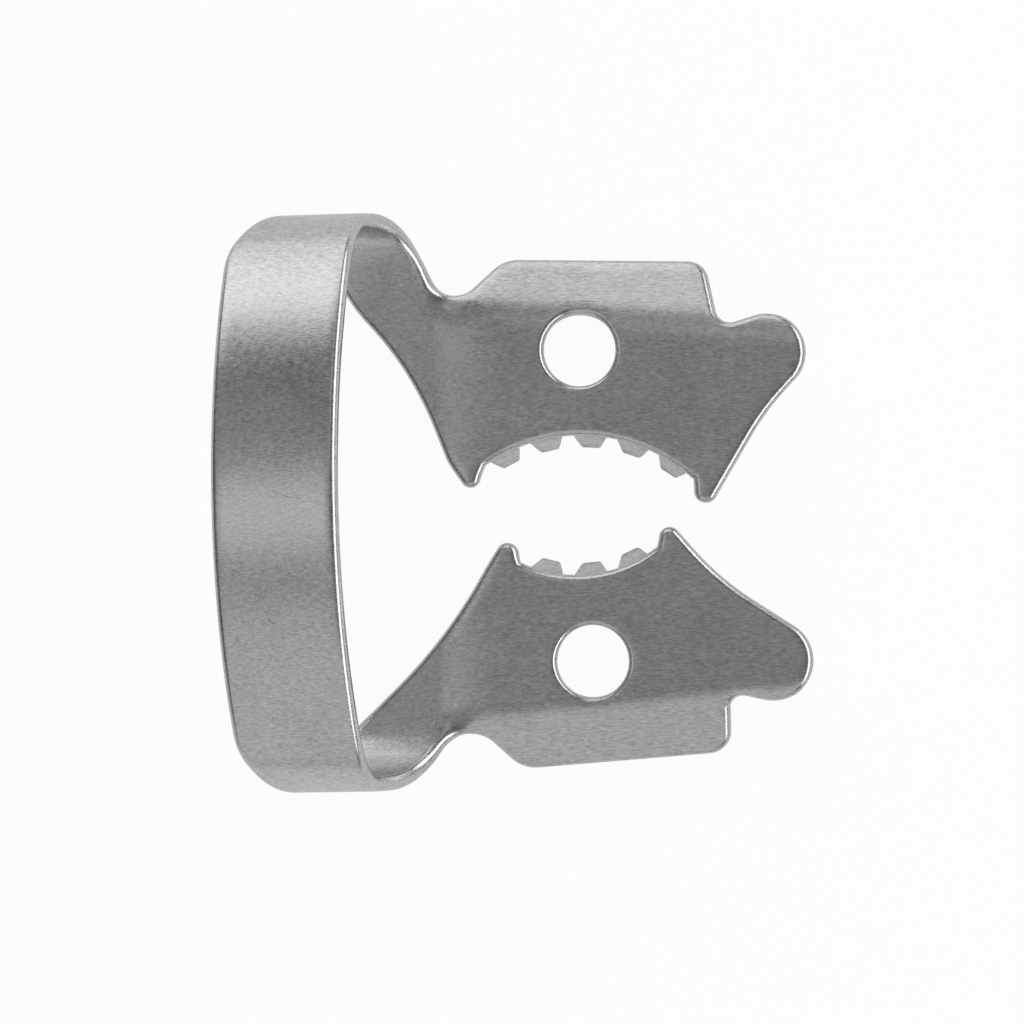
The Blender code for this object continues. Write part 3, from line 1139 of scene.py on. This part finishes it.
@dataclass
class Studio:
    """A white floor, soft lamps and the camera of the photograph.

    The floor glows white to the camera but for the shadow's share, which is matt and takes the
    clamp's shadow. In the steel's reflections only the mirrored share of that glow is left.
    """

    WHITE = (1.0, 1.0, 1.0, 1.0)

    lamps: tuple[Softbox, ...]
    world_grey: float = 0.13
    floor_size: float = 3000.0
    floor_grey: tuple[float, float, float, float] = (0.85, 0.85, 0.85, 1.0)
    shadow: float = 0.05
    mirrored: float = 0.5
    look_at: tuple[float, float, float] = (-0.334, -0.591, 1.745)
    tilt: float = 3.886
    roll: float = 1.3
    distance: float = 400.0
    nearest: float = 10.0
    sensor_width: float = 36.0
    pixels_per_mm: float = 21.7

    def build(self) -> None:
        """Set up floor, lamps, world and camera."""
        self._floor()
        self._world()
        self._camera()
        for lamp in self.lamps:
            lamp.hang()
        bpy.context.scene.view_settings.view_transform = "Standard"

    def _floor(self) -> None:
        """Lay a wide floor under the clamp, pale in itself and white to the camera."""
        body = bmesh.new()
        bmesh.ops.create_grid(body, x_segments=1, y_segments=1, size=self.floor_size / 2 * MM)
        mesh = shaped("floor", body)
        white = bpy.data.materials.new("floor_white")
        white.use_nodes = True
        graph = Graph(white.node_tree)
        white.node_tree.nodes.remove(white.node_tree.nodes["Principled BSDF"])
        path = graph.add("ShaderNodeLightPath")
        bounced = graph.term(path, "Is Glossy Ray").at_least(graph.term(path, "Is Transmission Ray"))
        seen = graph.term(path, "Is Camera Ray").at_least(bounced * self.mirrored)
        matt = graph.add("ShaderNodeBsdfDiffuse", {"Color": self.floor_grey})
        glow = graph.add("ShaderNodeEmission", {"Color": self.WHITE, "Strength": 1.0})
        both = graph.add("ShaderNodeMixShader", {
            0: seen * (1.0 - self.shadow), 1: matt.outputs[0], 2: glow.outputs[0]})
        graph.fill(white.node_tree.nodes["Material Output"].inputs["Surface"], both.outputs[0])
        mesh.materials.append(white)
        floor = placed("floor", mesh)

    def _world(self) -> None:
        """Surround the scene with a plain grey room."""
        world = bpy.data.worlds.new("studio")
        world.use_nodes = True
        back = world.node_tree.nodes["Background"]
        back.inputs["Color"].default_value = self.WHITE
        back.inputs["Strength"].default_value = self.world_grey
        bpy.context.scene.world = world

    def _camera(self) -> None:
        """Set up the photograph's view, from above and a little from the front."""
        lens = bpy.data.cameras.new("camera")
        lens.sensor_width = self.sensor_width
        lens.lens = self.sensor_width * self.pixels_per_mm * self.distance / PICTURE_WIDTH
        lens.clip_start = self.nearest * MM
        camera = placed("camera", lens)
        turn = Matrix.Rotation(math.radians(self.tilt), 4, "Y")
        turn = turn @ Matrix.Rotation(math.radians(-self.roll), 4, "Z")
        place = Matrix.Translation(Vector(self.look_at) * MM)
        camera.matrix_world = place @ turn @ Matrix.Translation((0, 0, self.distance * MM))
        bpy.context.scene.camera = camera


LAMPS = (
    Softbox("ceiling", -24.0, 0.0, 0.16, 440.0, 400.0),
    Softbox("cheek_side_box", -16.5, 69.8, 1.0, 420.0, 310.0),
    Softbox("cheek_fill", -1.0, 34.0, 0.38, 90.0, 340.0),
    Softbox("cheek_top_box", -31.5, 55.0, 0.55, 200.0, 88.0),
    Softbox("overhead_box", -29.5, -2.2, 0.77, 95.0, 128.0),
    Softbox("tongue_side_box", -12.5, -56.5, 0.51, 460.0, 428.0),
    Softbox("front_box", 57.0, 4.0, 2.6, 200.0, 1000.0),
)


def main() -> None:
    """Load the solid model, build the clamp's look over it and light it."""
    logging.basicConfig(level=logging.INFO, format="%(name)s: %(message)s")
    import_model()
    for piece in Clamp(BOW, SHEET, Teeth(), (WIDE_JAW, NARROW_JAW), SatinSteel()).build():
        LOG.info("%s: %d faces", piece.name, len(piece.data.polygons))
    Studio(LAMPS).build()


if __name__ == "__main__":
    main()
